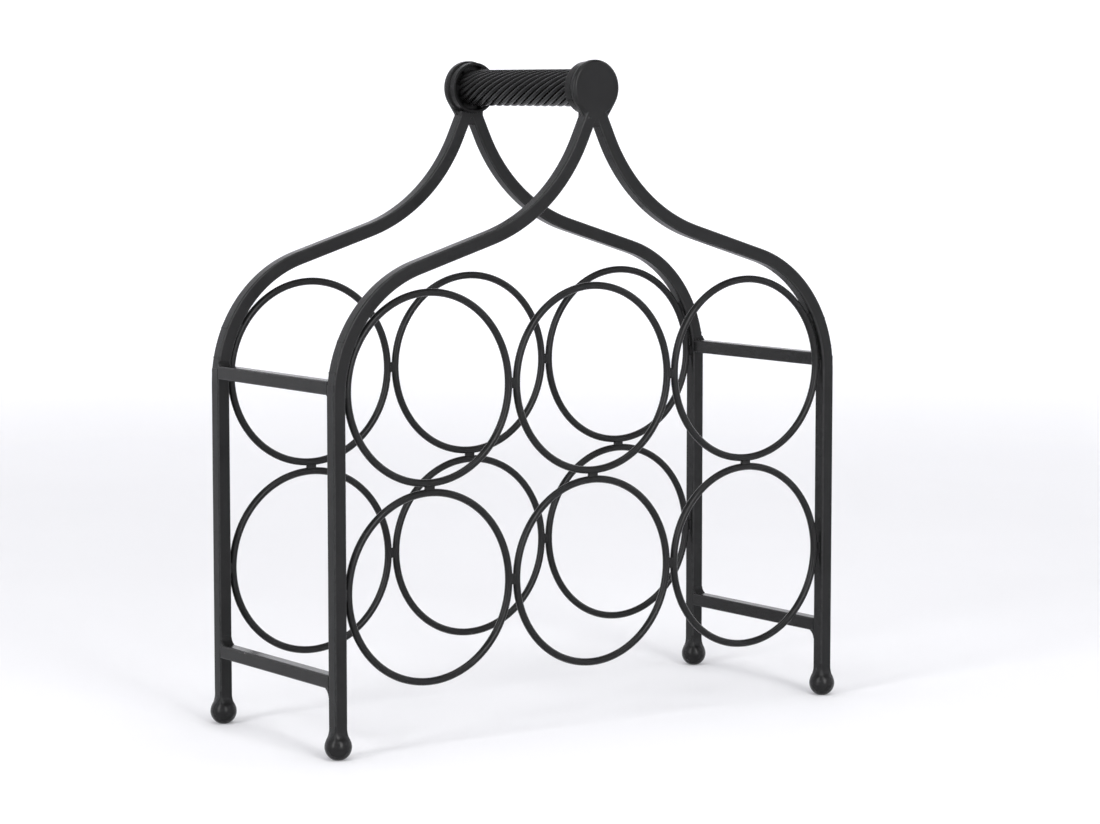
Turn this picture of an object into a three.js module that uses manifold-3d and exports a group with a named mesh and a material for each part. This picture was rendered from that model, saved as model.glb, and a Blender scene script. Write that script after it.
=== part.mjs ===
// Wine rack with six bays, of black coated steel, standing free on four ball feet.
// Millimetres, +Z up, +X to the right, -Y towards the front.
// The origin is on the floor, midway between the four feet.
import * as THREE from "three";
import { mergeVertices } from "three/addons/utils/BufferGeometryUtils.js";
import Module from "manifold-3d";

// Rings of the six bays, bent from round wire
const RING_INNER_DIAMETER = 100;
const WIRE_DIAMETER = 4.2;
const RING_TO_RING_GAP = 1.1;
const RING_TO_SHOULDER_GAP = 0.6;
const LEG_SETBACK = 0.45;
const LOWEST_RING_HEIGHT = 34.6;
const RING_SEGMENTS = 28;
const WIRE_SIDES = 8;

// Weld nubs between a ring and its neighbour
const SHOULDER_WELD_ANGLE = THREE.MathUtils.degToRad(30);
const NUB_DIAMETER = 3.2;
const NUB_SIDES = 8;

// Square bar of the two frames and of the crossbars
const BAR_SIDE = 7.7;
const BAR_EDGE_RADIUS = 1;
const BAR_EDGE_SEGMENTS = 2;
const ARC_SEGMENTS = 10;
const FRAME_SPACING = 126;
const SHOULDER_RADIUS = 72.5;
const OGEE_SLOPE = THREE.MathUtils.degToRad(17.3);
const OGEE_RADIUS = 99;
const NECK_SLOPE = THREE.MathUtils.degToRad(65.5);
const NECK_LENGTH = 14;
const NECK_SPREAD = 7.2;
const LOWER_CROSSBAR_ABOVE_RING_FOOT = 7.4;
const UPPER_CROSSBAR_ABOVE_RING_MIDDLE = 2.7;

// Ball feet, flattened where they stand
const BALL_DIAMETER = 15;
const FOOT_FLAT_DIAMETER = 5;
const FOOT_FILLET_RADIUS = 9;
const FOOT_NECK_LENGTH = 1.5;
const FOOT_SIDES = 16;
const BALL_RINGS = 6;
const FILLET_RINGS = 3;

// Handle: end discs, grip cups, twisted grip and core rod
const GRIP_DIAMETER = 21.2;
const CUP_RECESS_CLEARANCE = 2.2;
const CUP_WALL = 2;
const CUP_RECESS_DEPTH = 3.6;
const CUP_RIM_LENGTH = 5.9;
const CUP_EDGE_RADIUS = 0.6;
const CUP_GROOVE_DEPTH = 1.3;
const CUP_GROOVE_LENGTH = 1.2;
const CUP_RIB_COUNT = 6;
const CUP_RIB_WIDTH = 4;
const CUP_RIB_SETBACK = 0.5;
const DISC_OVERHANG = 0.9;
const DISC_THICKNESS = 3.6;
const DISC_EDGE_RADIUS = 2;
const STRAND_COUNT = 18;
const STRAND_DEPTH = 1.1;
const STRAND_POINTS = 4;
const TWIST_LEAD = 139;
const GRIP_STEPS_PER_TURN = 18;
const ROD_DIAMETER = 8;
const ROD_SIDES = 16;
const TURNED_SEGMENTS = 28;
const EDGE_STEPS = 3;

// Clearance left at every welded or seated joint
const JOINT_GAP = 0.3;

// Black coating
const COAT_COLOUR = 0x2d2d2e;
const COAT_ROUGHNESS = 0.55;
const COAT_METALNESS = 0.35;

// Places that follow from the sizes above
const HALF_BAR = BAR_SIDE / 2;
const RING_RADIUS = (RING_INNER_DIAMETER + WIRE_DIAMETER) / 2;
const RING_OUTER_RADIUS = RING_RADIUS + WIRE_DIAMETER / 2;
const RING_PITCH = 2 * RING_OUTER_RADIUS + RING_TO_RING_GAP;
const LOWER_RING_Z = LOWEST_RING_HEIGHT + RING_OUTER_RADIUS;
const UPPER_RING_Z = LOWER_RING_Z + RING_PITCH;
const RING_TO_LEG_GAP = RING_TO_SHOULDER_GAP + LEG_SETBACK;
const LEG_X = RING_PITCH + RING_OUTER_RADIUS + RING_TO_LEG_GAP + HALF_BAR;
const FRAME_Y = FRAME_SPACING / 2;
const FRAME_FACE_Y = FRAME_Y + HALF_BAR;
// A cutting box of this size passes right through a bar
const CUT_SIZE = 6 * BAR_SIDE;

// The shoulder arc wraps the outer upper ring: its centre lies inside and below the ring's own
const SHOULDER_X = LEG_X - SHOULDER_RADIUS;
const SHOULDER_OFFSET_X = RING_PITCH - SHOULDER_X;
const SHOULDER_OFFSET = SHOULDER_RADIUS - HALF_BAR - RING_TO_SHOULDER_GAP - RING_OUTER_RADIUS;
const SHOULDER_OFFSET_Z = Math.sqrt(SHOULDER_OFFSET ** 2 - SHOULDER_OFFSET_X ** 2);
const SHOULDER_Z = UPPER_RING_Z - SHOULDER_OFFSET_Z;
const SHOULDER_NEAREST_ANGLE = Math.atan2(SHOULDER_OFFSET_Z, SHOULDER_OFFSET_X);

// From the shoulder a straight run leads to the ogee arc, which turns up into the neck under the disc
const SHOULDER_END_X = SHOULDER_X + SHOULDER_RADIUS * Math.sin(OGEE_SLOPE);
const SHOULDER_END_Z = SHOULDER_Z + SHOULDER_RADIUS * Math.cos(OGEE_SLOPE);
const OGEE_WIDTH = OGEE_RADIUS * (Math.sin(NECK_SLOPE) - Math.sin(OGEE_SLOPE));
const NECK_START_X = NECK_SPREAD / 2 + NECK_LENGTH * Math.cos(NECK_SLOPE);
const RUN_LENGTH = (SHOULDER_END_X - OGEE_WIDTH - NECK_START_X) / Math.cos(OGEE_SLOPE);
const OGEE_X = NECK_START_X + OGEE_RADIUS * Math.sin(NECK_SLOPE);
const OGEE_Z = SHOULDER_END_Z + RUN_LENGTH * Math.sin(OGEE_SLOPE) + OGEE_RADIUS * Math.cos(OGEE_SLOPE);
const NECK_TOP_Z = OGEE_Z - OGEE_RADIUS * Math.cos(NECK_SLOPE) + NECK_LENGTH * Math.sin(NECK_SLOPE);

const BALL_RADIUS = BALL_DIAMETER / 2;
const BALL_Z = Math.sqrt(BALL_RADIUS ** 2 - (FOOT_FLAT_DIAMETER / 2) ** 2);
const FILLET_X = HALF_BAR + FOOT_FILLET_RADIUS;
const FILLET_Z = BALL_Z + Math.sqrt((BALL_RADIUS + FOOT_FILLET_RADIUS) ** 2 - FILLET_X ** 2);
const FOOT_TOP_Z = FILLET_Z + FOOT_NECK_LENGTH;

const RECESS_RADIUS = GRIP_DIAMETER / 2 + CUP_RECESS_CLEARANCE;
const CUP_RADIUS = RECESS_RADIUS + CUP_WALL;
const DISC_RADIUS = CUP_RADIUS + DISC_OVERHANG;
const HANDLE_Z = NECK_TOP_Z + DISC_RADIUS;
const CUP_START_Y = FRAME_FACE_Y - DISC_THICKNESS - JOINT_GAP;
const CUP_END_Y = CUP_START_Y - CUP_GROOVE_LENGTH - CUP_RIM_LENGTH;
const CUP_FLOOR_Y = CUP_END_Y + CUP_RECESS_DEPTH;
const ROD_BORE_RADIUS = ROD_DIAMETER / 2 + JOINT_GAP;

const wasm = await Module();
wasm.setup();

// A closed three.js geometry as a solid that can be joined and cut
function toSolid(geometry) {
  const bare = geometry.clone();
  bare.deleteAttribute("normal");
  bare.deleteAttribute("uv");
  const merged = mergeVertices(bare);
  const vertProperties = merged.getAttribute("position").array;
  const triVerts = new Uint32Array(merged.index.array);
  return new wasm.Manifold(new wasm.Mesh({ numProp: 3, vertProperties, triVerts }));
}

function toGeometry(solid) {
  const { vertProperties, triVerts } = solid.getMesh();
  const geometry = new THREE.BufferGeometry();
  geometry.setAttribute("position", new THREE.BufferAttribute(vertProperties, 3));
  geometry.setIndex(new THREE.BufferAttribute(triVerts, 1));
  geometry.computeVertexNormals();
  return geometry;
}

// Skin through equal-sized rings of points, closed at both ends by fans
function loft(rings) {
  const sides = rings[0].length;
  const points = rings.flat();
  const faces = [];
  for (let k = 0; k + 1 < rings.length; k++) {
    for (let i = 0; i < sides; i++) {
      const j = (i + 1) % sides;
      const a = k * sides + i;
      const b = k * sides + j;
      const c = a + sides;
      const d = b + sides;
      faces.push(a, b, d, a, d, c);
    }
  }
  const closeEnd = (ring, first, flip) => {
    const middle = new THREE.Vector3();
    ring.forEach((p) => middle.addScaledVector(p, 1 / sides));
    const tip = points.push(middle) - 1;
    for (let i = 0; i < sides; i++) {
      const j = (i + 1) % sides;
      faces.push(tip, first + (flip ? j : i), first + (flip ? i : j));
    }
  };
  closeEnd(rings[0], 0, true);
  closeEnd(rings.at(-1), (rings.length - 1) * sides, false);
  const geometry = new THREE.BufferGeometry().setFromPoints(points);
  geometry.setIndex(faces);
  return geometry;
}

// Quarter-round edge of a turned profile, from angle start to angle end about its own centre
function edgeArc(centreR, centreY, radius, start, end) {
  return Array.from({ length: EDGE_STEPS + 1 }, (_, i) => {
    const angle = start + ((end - start) * i) / EDGE_STEPS;
    return new THREE.Vector2(centreR + radius * Math.cos(angle), centreY + radius * Math.sin(angle));
  });
}

// Cylinder lying along Y
function rodAlongY(radius, length, sides) {
  return new THREE.CylinderGeometry(radius, radius, length, sides);
}

// Side view of a right-hand bar: up its outer edge from the foot to the disc, and down its inner edge
function frameBarShape() {
  const upright = Math.PI / 2;
  const shoulderTurn = upright - OGEE_SLOPE;
  const ogeeStart = -upright - OGEE_SLOPE;
  const ogeeEnd = -upright - NECK_SLOPE;
  const bottom = FOOT_TOP_Z - BAR_SIDE;
  const top = (offset) => [
    NECK_SPREAD / 2 - BAR_SIDE * Math.cos(NECK_SLOPE) + offset * Math.sin(NECK_SLOPE),
    NECK_TOP_Z + BAR_SIDE * Math.sin(NECK_SLOPE) + offset * Math.cos(NECK_SLOPE),
  ];
  const shape = new THREE.Shape();
  shape.moveTo(LEG_X - HALF_BAR, bottom);
  shape.lineTo(LEG_X + HALF_BAR, bottom);
  shape.absarc(SHOULDER_X, SHOULDER_Z, SHOULDER_RADIUS + HALF_BAR, 0, shoulderTurn, false);
  shape.absarc(OGEE_X, OGEE_Z, OGEE_RADIUS - HALF_BAR, ogeeStart, ogeeEnd, true);
  shape.lineTo(...top(HALF_BAR));
  shape.lineTo(...top(-HALF_BAR));
  shape.absarc(OGEE_X, OGEE_Z, OGEE_RADIUS + HALF_BAR, ogeeEnd, ogeeStart, false);
  shape.absarc(SHOULDER_X, SHOULDER_Z, SHOULDER_RADIUS - HALF_BAR, shoulderTurn, 0, true);
  shape.closePath();
  return shape;
}

// The bent bar, cut square at the foot, mitred against its twin and hollowed to sit under the disc
function frameBarGeometry() {
  const bent = new THREE.ExtrudeGeometry(frameBarShape(), {
    depth: BAR_SIDE - 2 * BAR_EDGE_RADIUS,
    bevelThickness: BAR_EDGE_RADIUS,
    bevelSize: BAR_EDGE_RADIUS,
    bevelOffset: -BAR_EDGE_RADIUS,
    bevelSegments: BAR_EDGE_SEGMENTS,
    curveSegments: ARC_SEGMENTS / 2,
  });
  bent.translate(0, 0, BAR_EDGE_RADIUS - HALF_BAR);
  bent.rotateX(Math.PI / 2);
  const belowFoot = new THREE.BoxGeometry(CUT_SIZE, CUT_SIZE, CUT_SIZE);
  belowFoot.translate(LEG_X, 0, FOOT_TOP_Z + JOINT_GAP - CUT_SIZE / 2);
  const pastMiddle = new THREE.BoxGeometry(CUT_SIZE, CUT_SIZE, CUT_SIZE);
  pastMiddle.translate(JOINT_GAP / 2 - CUT_SIZE / 2, 0, NECK_TOP_Z);
  const discSeat = rodAlongY(DISC_RADIUS + JOINT_GAP, CUT_SIZE, 2 * TURNED_SEGMENTS);
  discSeat.translate(0, 0, HANDLE_Z);
  const cuts = [belowFoot, pastMiddle, discSeat];
  return toGeometry(cuts.reduce((bar, cut) => bar.subtract(toSolid(cut)), toSolid(bent)));
}

// Where the middle of a bar stands at a height on its leg or shoulder
function barCentreX(height) {
  const rise = Math.max(0, height - SHOULDER_Z);
  return SHOULDER_X + Math.sqrt(SHOULDER_RADIUS ** 2 - rise ** 2);
}

// Room between an outer upper ring and the shoulder, measured outwards from the ring at an angle
function shoulderGap(angle) {
  const along = SHOULDER_OFFSET * Math.cos(angle - SHOULDER_NEAREST_ANGLE);
  const across = SHOULDER_OFFSET * Math.sin(angle - SHOULDER_NEAREST_ANGLE);
  const reach = Math.sqrt((SHOULDER_RADIUS - HALF_BAR) ** 2 - across ** 2);
  return reach - along - RING_OUTER_RADIUS;
}

// A ring with its weld nubs, each given by its direction and the gap that it crosses
function ringGeometry(welds) {
  const wire = new THREE.TorusGeometry(RING_RADIUS, WIRE_DIAMETER / 2, WIRE_SIDES, RING_SEGMENTS);
  const ring = welds.reduce((solid, { angle, gap }) => {
    const length = WIRE_DIAMETER / 2 + gap - JOINT_GAP;
    const nub = rodAlongY(NUB_DIAMETER / 2, length, NUB_SIDES);
    nub.translate(0, RING_RADIUS + length / 2, 0);
    nub.rotateZ(angle - Math.PI / 2);
    return solid.add(toSolid(nub));
  }, toSolid(wire));
  return toGeometry(ring).rotateX(Math.PI / 2);
}

// Ball foot: a ball with a flat sole, filleted into a neck of the bar's own section
function footGeometry() {
  const soleAngle = Math.asin(-BALL_Z / BALL_RADIUS);
  const meetAngle = Math.atan2(FILLET_Z - BALL_Z, FILLET_X);
  const profile = [];
  for (let i = 0; i <= BALL_RINGS; i++) {
    const angle = soleAngle + ((meetAngle - soleAngle) * i) / BALL_RINGS;
    profile.push({
      radius: BALL_RADIUS * Math.cos(angle),
      z: BALL_Z + BALL_RADIUS * Math.sin(angle),
      squareness: 0,
    });
  }
  for (let i = 1; i <= FILLET_RINGS; i++) {
    const angle = meetAngle * (1 - i / FILLET_RINGS);
    profile.push({
      radius: FILLET_X - FOOT_FILLET_RADIUS * Math.cos(angle),
      z: FILLET_Z - FOOT_FILLET_RADIUS * Math.sin(angle),
      squareness: i / FILLET_RINGS,
    });
  }
  profile.push({ radius: HALF_BAR, z: FOOT_TOP_Z, squareness: 1 });
  const rings = profile.map(({ radius, z, squareness }) =>
    Array.from({ length: FOOT_SIDES }, (_, i) => {
      const angle = (2 * Math.PI * i) / FOOT_SIDES;
      const c = Math.cos(angle);
      const s = Math.sin(angle);
      const toFlat = radius / Math.max(Math.abs(c), Math.abs(s));
      const toCorner = (2 * radius - BAR_EDGE_RADIUS) / (Math.abs(c) + Math.abs(s));
      const square = Math.min(toFlat, toCorner);
      const reach = radius + (square - radius) * squareness;
      return new THREE.Vector3(reach * c, reach * s, z);
    }),
  );
  return loft(rings);
}

// Square side bar between the front and rear frames
function crossbarGeometry() {
  const inset = HALF_BAR - BAR_EDGE_RADIUS;
  const shape = new THREE.Shape();
  [0, 1, 2, 3].forEach((corner) => {
    const start = (corner * Math.PI) / 2;
    const x = inset * Math.sign(Math.cos(start + Math.PI / 4));
    const y = inset * Math.sign(Math.sin(start + Math.PI / 4));
    shape.absarc(x, y, BAR_EDGE_RADIUS, start, start + Math.PI / 2, false);
  });
  const length = FRAME_SPACING - BAR_SIDE - 2 * JOINT_GAP;
  const bar = new THREE.ExtrudeGeometry(shape, {
    depth: length,
    bevelEnabled: false,
    curveSegments: BAR_EDGE_SEGMENTS / 2,
  });
  bar.translate(0, 0, -length / 2);
  bar.rotateX(Math.PI / 2);
  return bar;
}

// End disc: a plain plate with a rounded outer edge, its face flush with the bars
function endDiscGeometry() {
  const edgeR = DISC_RADIUS - DISC_EDGE_RADIUS;
  const edgeY = FRAME_FACE_Y - DISC_EDGE_RADIUS;
  const profile = [
    new THREE.Vector2(0, FRAME_FACE_Y - DISC_THICKNESS),
    new THREE.Vector2(DISC_RADIUS, FRAME_FACE_Y - DISC_THICKNESS),
    ...edgeArc(edgeR, edgeY, DISC_EDGE_RADIUS, 0, Math.PI / 2),
    new THREE.Vector2(0, FRAME_FACE_Y),
  ];
  return new THREE.LatheGeometry(profile, TURNED_SEGMENTS);
}

// Grip cup: a grooved collar inside the disc's rim, whose recess takes the end of the grip between ribs
function gripCupGeometry() {
  const edge = CUP_EDGE_RADIUS;
  const rimStart = CUP_START_Y - CUP_GROOVE_LENGTH;
  const grooveRadius = CUP_RADIUS - CUP_GROOVE_DEPTH;
  const profile = [
    new THREE.Vector2(ROD_BORE_RADIUS, CUP_FLOOR_Y),
    new THREE.Vector2(RECESS_RADIUS, CUP_FLOOR_Y),
    new THREE.Vector2(RECESS_RADIUS, CUP_END_Y),
    ...edgeArc(CUP_RADIUS - edge, CUP_END_Y + edge, edge, -Math.PI / 2, 0),
    new THREE.Vector2(CUP_RADIUS, rimStart),
    new THREE.Vector2(grooveRadius, rimStart),
    new THREE.Vector2(grooveRadius, CUP_START_Y),
    new THREE.Vector2(ROD_BORE_RADIUS, CUP_START_Y),
    new THREE.Vector2(ROD_BORE_RADIUS, CUP_FLOOR_Y),
  ];
  const ribStart = GRIP_DIAMETER / 2 + JOINT_GAP;
  const ribEnd = RECESS_RADIUS + CUP_WALL / 2;
  const ribTop = CUP_END_Y + CUP_RIB_SETBACK;
  const ribFoot = (CUP_FLOOR_Y + CUP_START_Y) / 2;
  let cup = toSolid(new THREE.LatheGeometry(profile, TURNED_SEGMENTS));
  for (let i = 0; i < CUP_RIB_COUNT; i++) {
    const rib = new THREE.BoxGeometry(ribEnd - ribStart, ribFoot - ribTop, CUP_RIB_WIDTH);
    rib.translate((ribStart + ribEnd) / 2, (ribTop + ribFoot) / 2, 0);
    rib.rotateY((2 * Math.PI * i) / CUP_RIB_COUNT);
    cup = cup.add(toSolid(rib));
  }
  return toGeometry(cup);
}

// Grip: convex strands laid side by side and twisted left-handed about the core rod
function gripGeometry() {
  const halfLength = CUP_FLOOR_Y - JOINT_GAP;
  const crest = GRIP_DIAMETER / 2;
  const steps = Math.ceil((GRIP_STEPS_PER_TURN * 2 * halfLength) / TWIST_LEAD);
  const sides = STRAND_COUNT * STRAND_POINTS;
  const rings = Array.from({ length: steps + 1 }, (_, k) => {
    const y = halfLength - (2 * halfLength * k) / steps;
    const twist = (2 * Math.PI * y) / TWIST_LEAD;
    return Array.from({ length: sides }, (_, i) => {
      const across = (2 * (i % STRAND_POINTS)) / STRAND_POINTS - 1;
      const radius = crest - STRAND_DEPTH * (1 - Math.sqrt(1 - across ** 2));
      const angle = twist + (2 * Math.PI * i) / sides;
      return new THREE.Vector3(radius * Math.cos(angle), y, radius * Math.sin(angle));
    });
  });
  const bore = rodAlongY(ROD_BORE_RADIUS, 2 * FRAME_FACE_Y, ROD_SIDES);
  return toGeometry(toSolid(loft(rings)).subtract(toSolid(bore)));
}

function coreRodGeometry() {
  return rodAlongY(ROD_DIAMETER / 2, 2 * CUP_START_Y, ROD_SIDES);
}

const rack = new THREE.Group();

function addPiece(name, geometry) {
  const material = new THREE.MeshStandardMaterial({
    color: COAT_COLOUR,
    roughness: COAT_ROUGHNESS,
    metalness: COAT_METALNESS,
  });
  const mesh = new THREE.Mesh(geometry, material);
  mesh.name = name;
  rack.add(mesh);
  return mesh;
}

const FRAMES = [
  { label: "front", side: -1 },
  { label: "rear", side: 1 },
];
const SIDES = [
  { label: "left", side: -1 },
  { label: "right", side: 1 },
];
const COLUMNS = [
  { label: "left", side: -1 },
  { label: "middle", side: 0 },
  { label: "right", side: 1 },
];
const ROWS = [
  { label: "lower", z: LOWER_RING_Z, upper: false },
  { label: "upper", z: UPPER_RING_Z, upper: true },
];

// Two bars and two feet to each frame
const frameBar = frameBarGeometry();
const foot = footGeometry();
for (const frame of FRAMES) {
  for (const hand of SIDES) {
    const bar = addPiece(`${frame.label}_${hand.label}_bar`, frameBar);
    bar.position.y = frame.side * FRAME_Y;
    bar.rotation.z = hand.side < 0 ? Math.PI : 0;
    const ball = addPiece(`${frame.label}_${hand.label}_foot`, foot);
    ball.position.set(hand.side * LEG_X, frame.side * FRAME_Y, 0);
  }
}

// The welds of one ring: to the next column or the leg, up to the next row, and to the shoulder
function ringWelds(column, row) {
  const nubTop = row.z + NUB_DIAMETER / 2;
  const legGap = barCentreX(nubTop) - HALF_BAR - RING_PITCH - RING_OUTER_RADIUS;
  const welds = [{ angle: 0, gap: column.side > 0 ? legGap : RING_TO_RING_GAP }];
  if (column.side < 0) {
    welds.push({ angle: Math.PI, gap: legGap });
  }
  if (!row.upper) {
    welds.push({ angle: Math.PI / 2, gap: RING_TO_RING_GAP });
  } else if (column.side !== 0) {
    const angle = column.side > 0 ? SHOULDER_WELD_ANGLE : Math.PI - SHOULDER_WELD_ANGLE;
    const halfNub = Math.asin(NUB_DIAMETER / 2 / RING_OUTER_RADIUS);
    welds.push({ angle, gap: shoulderGap(SHOULDER_WELD_ANGLE - halfNub) });
  }
  return welds;
}

for (const row of ROWS) {
  for (const column of COLUMNS) {
    const ring = ringGeometry(ringWelds(column, row));
    for (const frame of FRAMES) {
      const mesh = addPiece(`${frame.label}_${row.label}_${column.label}_ring`, ring);
      mesh.position.set(column.side * RING_PITCH, frame.side * FRAME_Y, row.z);
    }
  }
}

const crossbar = crossbarGeometry();
const CROSSBARS = [
  { label: "lower", z: LOWEST_RING_HEIGHT + LOWER_CROSSBAR_ABOVE_RING_FOOT },
  { label: "upper", z: UPPER_RING_Z + UPPER_CROSSBAR_ABOVE_RING_MIDDLE },
];
for (const level of CROSSBARS) {
  for (const hand of SIDES) {
    const mesh = addPiece(`${level.label}_${hand.label}_crossbar`, crossbar);
    mesh.position.set(hand.side * barCentreX(level.z), 0, level.z);
  }
}

const endDisc = endDiscGeometry();
const gripCup = gripCupGeometry();
const handle = new THREE.Group();
handle.position.z = HANDLE_Z;
rack.add(handle);
for (const frame of FRAMES) {
  const disc = addPiece(`${frame.label}_end_disc`, endDisc);
  const cup = addPiece(`${frame.label}_grip_cup`, gripCup);
  [disc, cup].forEach((piece) => {
    piece.rotation.z = frame.side < 0 ? Math.PI : 0;
    handle.add(piece);
  });
}
handle.add(addPiece("handle_grip", gripGeometry()));
handle.add(addPiece("handle_core_rod", coreRodGeometry()));

export default rack;
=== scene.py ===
"""Looks of a wine rack with six bays: bent square bar, wire rings and a twisted handle, all black.

Metres, +Z up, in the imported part's own frame, with -Y towards the front.
"""

import math

import bmesh
import bpy
from mathutils import Matrix, Vector


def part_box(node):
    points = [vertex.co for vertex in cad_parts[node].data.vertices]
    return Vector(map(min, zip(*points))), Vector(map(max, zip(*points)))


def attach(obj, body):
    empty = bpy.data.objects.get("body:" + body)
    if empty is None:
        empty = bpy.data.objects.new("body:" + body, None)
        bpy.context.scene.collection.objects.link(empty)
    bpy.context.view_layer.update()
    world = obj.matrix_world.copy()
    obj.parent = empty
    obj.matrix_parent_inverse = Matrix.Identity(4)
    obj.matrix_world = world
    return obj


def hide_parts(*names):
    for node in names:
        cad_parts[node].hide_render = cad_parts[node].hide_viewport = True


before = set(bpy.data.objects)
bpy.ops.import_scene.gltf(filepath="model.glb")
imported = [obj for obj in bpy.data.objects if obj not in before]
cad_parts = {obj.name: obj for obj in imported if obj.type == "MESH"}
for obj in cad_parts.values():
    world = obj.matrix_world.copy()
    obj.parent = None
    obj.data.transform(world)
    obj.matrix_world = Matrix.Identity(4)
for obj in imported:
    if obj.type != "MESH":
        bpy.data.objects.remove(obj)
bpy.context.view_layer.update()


def low(node):
    """Lowest corner of a CAD node."""
    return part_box(node)[0]


def high(node):
    """Highest corner of a CAD node."""
    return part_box(node)[1]


def middle(node):
    """Middle of a CAD node's box."""
    return (low(node) + high(node)) / 2


# Wire rings of the six bays
WIRE = high("rear_upper_middle_ring").y - low("rear_upper_middle_ring").y
RING_OUTER = (high("rear_upper_middle_ring").z - low("rear_upper_middle_ring").z) / 2
RING_RADIUS = RING_OUTER - WIRE / 2
RING_PITCH = low("rear_upper_right_ring").x + RING_OUTER
RING_GAP = RING_PITCH - 2 * RING_OUTER
LOWER_RING_Z = low("rear_lower_middle_ring").z + RING_OUTER
UPPER_RING_Z = low("rear_upper_middle_ring").z + RING_OUTER

# Square bar of the two frames and of the crossbars
BAR = high("rear_right_bar").y - low("rear_right_bar").y
HALF_BAR = BAR / 2
BAR_EDGE = 0.001
FRAME_FACE = high("rear_right_bar").y
FRAME_Y = FRAME_FACE - HALF_BAR
LEG_X = high("rear_right_bar").x - HALF_BAR
LEG_GAP = LEG_X - HALF_BAR - RING_PITCH - RING_OUTER
SHOULDER_GAP = 0.0006
SHOULDER_RADIUS = 0.0725
OGEE_SLOPE = math.radians(17.3)
OGEE_RADIUS = 0.099
NECK_SLOPE = math.radians(65.5)
NECK_LENGTH = 0.014
NECK_SPREAD = 0.0072
ARC_STEP = 0.002

# The shoulder arc wraps the outer upper ring: its centre lies inside and below the ring's own
SHOULDER_X = LEG_X - SHOULDER_RADIUS
SHOULDER_OFFSET_X = RING_PITCH - SHOULDER_X
SHOULDER_OFFSET = SHOULDER_RADIUS - HALF_BAR - SHOULDER_GAP - RING_OUTER
SHOULDER_OFFSET_Z = math.sqrt(SHOULDER_OFFSET**2 - SHOULDER_OFFSET_X**2)
SHOULDER_Z = UPPER_RING_Z - SHOULDER_OFFSET_Z
SHOULDER_NEAREST_ANGLE = math.atan2(SHOULDER_OFFSET_Z, SHOULDER_OFFSET_X)
SHOULDER_WELD_ANGLE = math.radians(30)

# Ball feet
FOOT_TOP = high("rear_right_foot").z
BALL_RADIUS = (high("rear_right_foot").x - low("rear_right_foot").x) / 2
FOOT_FLAT_RADIUS = 0.0025
FOOT_FILLET = 0.009
FOOT_SIDES = 64
BALL_STEPS = 28
SQUARING_STEPS = 6
FOOT_FILLET_STEPS = 10

# Handle: end discs, grip cups, twisted grip and core rod
DISC_RADIUS = (high("rear_end_disc").z - low("rear_end_disc").z) / 2
DISC_BACK = low("rear_end_disc").y
DISC_EDGE = 0.002
DISC_EDGE_STEPS = 10
# Steps of the disc's rounded edge that take the lighter edge grey: rubbed wear and a painted highlight
DISC_WORN_AND_HIGHLIT_STEPS = range(2, 6)
DISC_RIM_WEAR_AND_HIGHLIGHT = 0.5
HANDLE_Z = low("rear_end_disc").z + DISC_RADIUS
CUP_RADIUS = (high("rear_grip_cup").z - low("rear_grip_cup").z) / 2
CUP_START = high("rear_grip_cup").y
CUP_END = low("rear_grip_cup").y
CUP_WALL = 0.002
CUP_RECESS = 0.0036
CUP_RIM = 0.0059
CUP_EDGE = 0.0006
CUP_GROOVE = 0.0034
RIB_COUNT = 6
RIB_WIDTH = 0.004
RIB_SETBACK = 0.0005
RIB_FLANK = 0.0004
RIB_FALL = 0.03
RIB_STEPS = 12
CUP_WALL_STEPS = 8
CUP_EDGE_STEPS = 6
GRIP_CLEARANCE = 0.0002
GRIP_RADIUS = (high("handle_grip").x - low("handle_grip").x) / 2
GRIP_LENGTH = high("handle_grip").y - low("handle_grip").y
STRAND_COUNT = 18
STRAND_DEPTH = 0.0018
TWIST_LEAD = 0.139
ROD_RADIUS = (high("handle_core_rod").x - low("handle_core_rod").x) / 2
TURNED_SIDES = 120

# Welds lie this far inside the bars and wires that they join, so that only their fillets show
WELD_DEPTH = 0.0002
WELD_GRAIN = 0.0003
COARSE_GRAIN = 0.0004
WELD_ROUNDS = 10
RING_WELD_LENGTH = 0.0056
RING_TO_RING_WELD_WIDTH = 0.0026
RING_TO_BAR_WELD_WIDTH = 0.0028
RING_WELD_REACH = 0.010
CROSSBAR_WELD_HEIGHT = 0.018
CROSSBAR_WELD_REACH = 0.009
CROSSBAR_COLLAR = 0.0020
CROSSBAR_COLLAR_INSET = 0.0006
CROSSBAR_FILLET_STEPS = 6
CROSSBAR_FILLETS = {
    "lower": {"front": 0.0050, "rear": 0.0044},
    "upper": {"front": 0.0012, "rear": 0.0026},
}

# Neck welds: sizes and places of the metal, from the lowest point of a rear disc
NECK_BLOCKS = (
    ((0.0066, 0.0070, 0.0070), (0, 0, -0.0025)),
    ((0.0122, 0.0034, 0.0064), (0, 0.0021, 0.0006)),
    ((0.0148, 0.0042, 0.0044), (0, 0.0011, 0)),
    ((0.0156, 0.0040, 0.0034), (0, -0.0018, 0.0007)),
)
NECK_LUMPS = (
    (0.0020, (0.0050, 0.0023, -0.0012)),
    (0.0016, (-0.0046, 0.0023, -0.0016)),
)
NECK_FLANK = (0.003, 0.0030, 0.0102)
NECK_FLANK_PLACE = (0.0088, 0.0017, 0.0036)
NECK_FLANK_LEAN = math.radians(33.4)
NECK_WELD_REACH = 0.014

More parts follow.
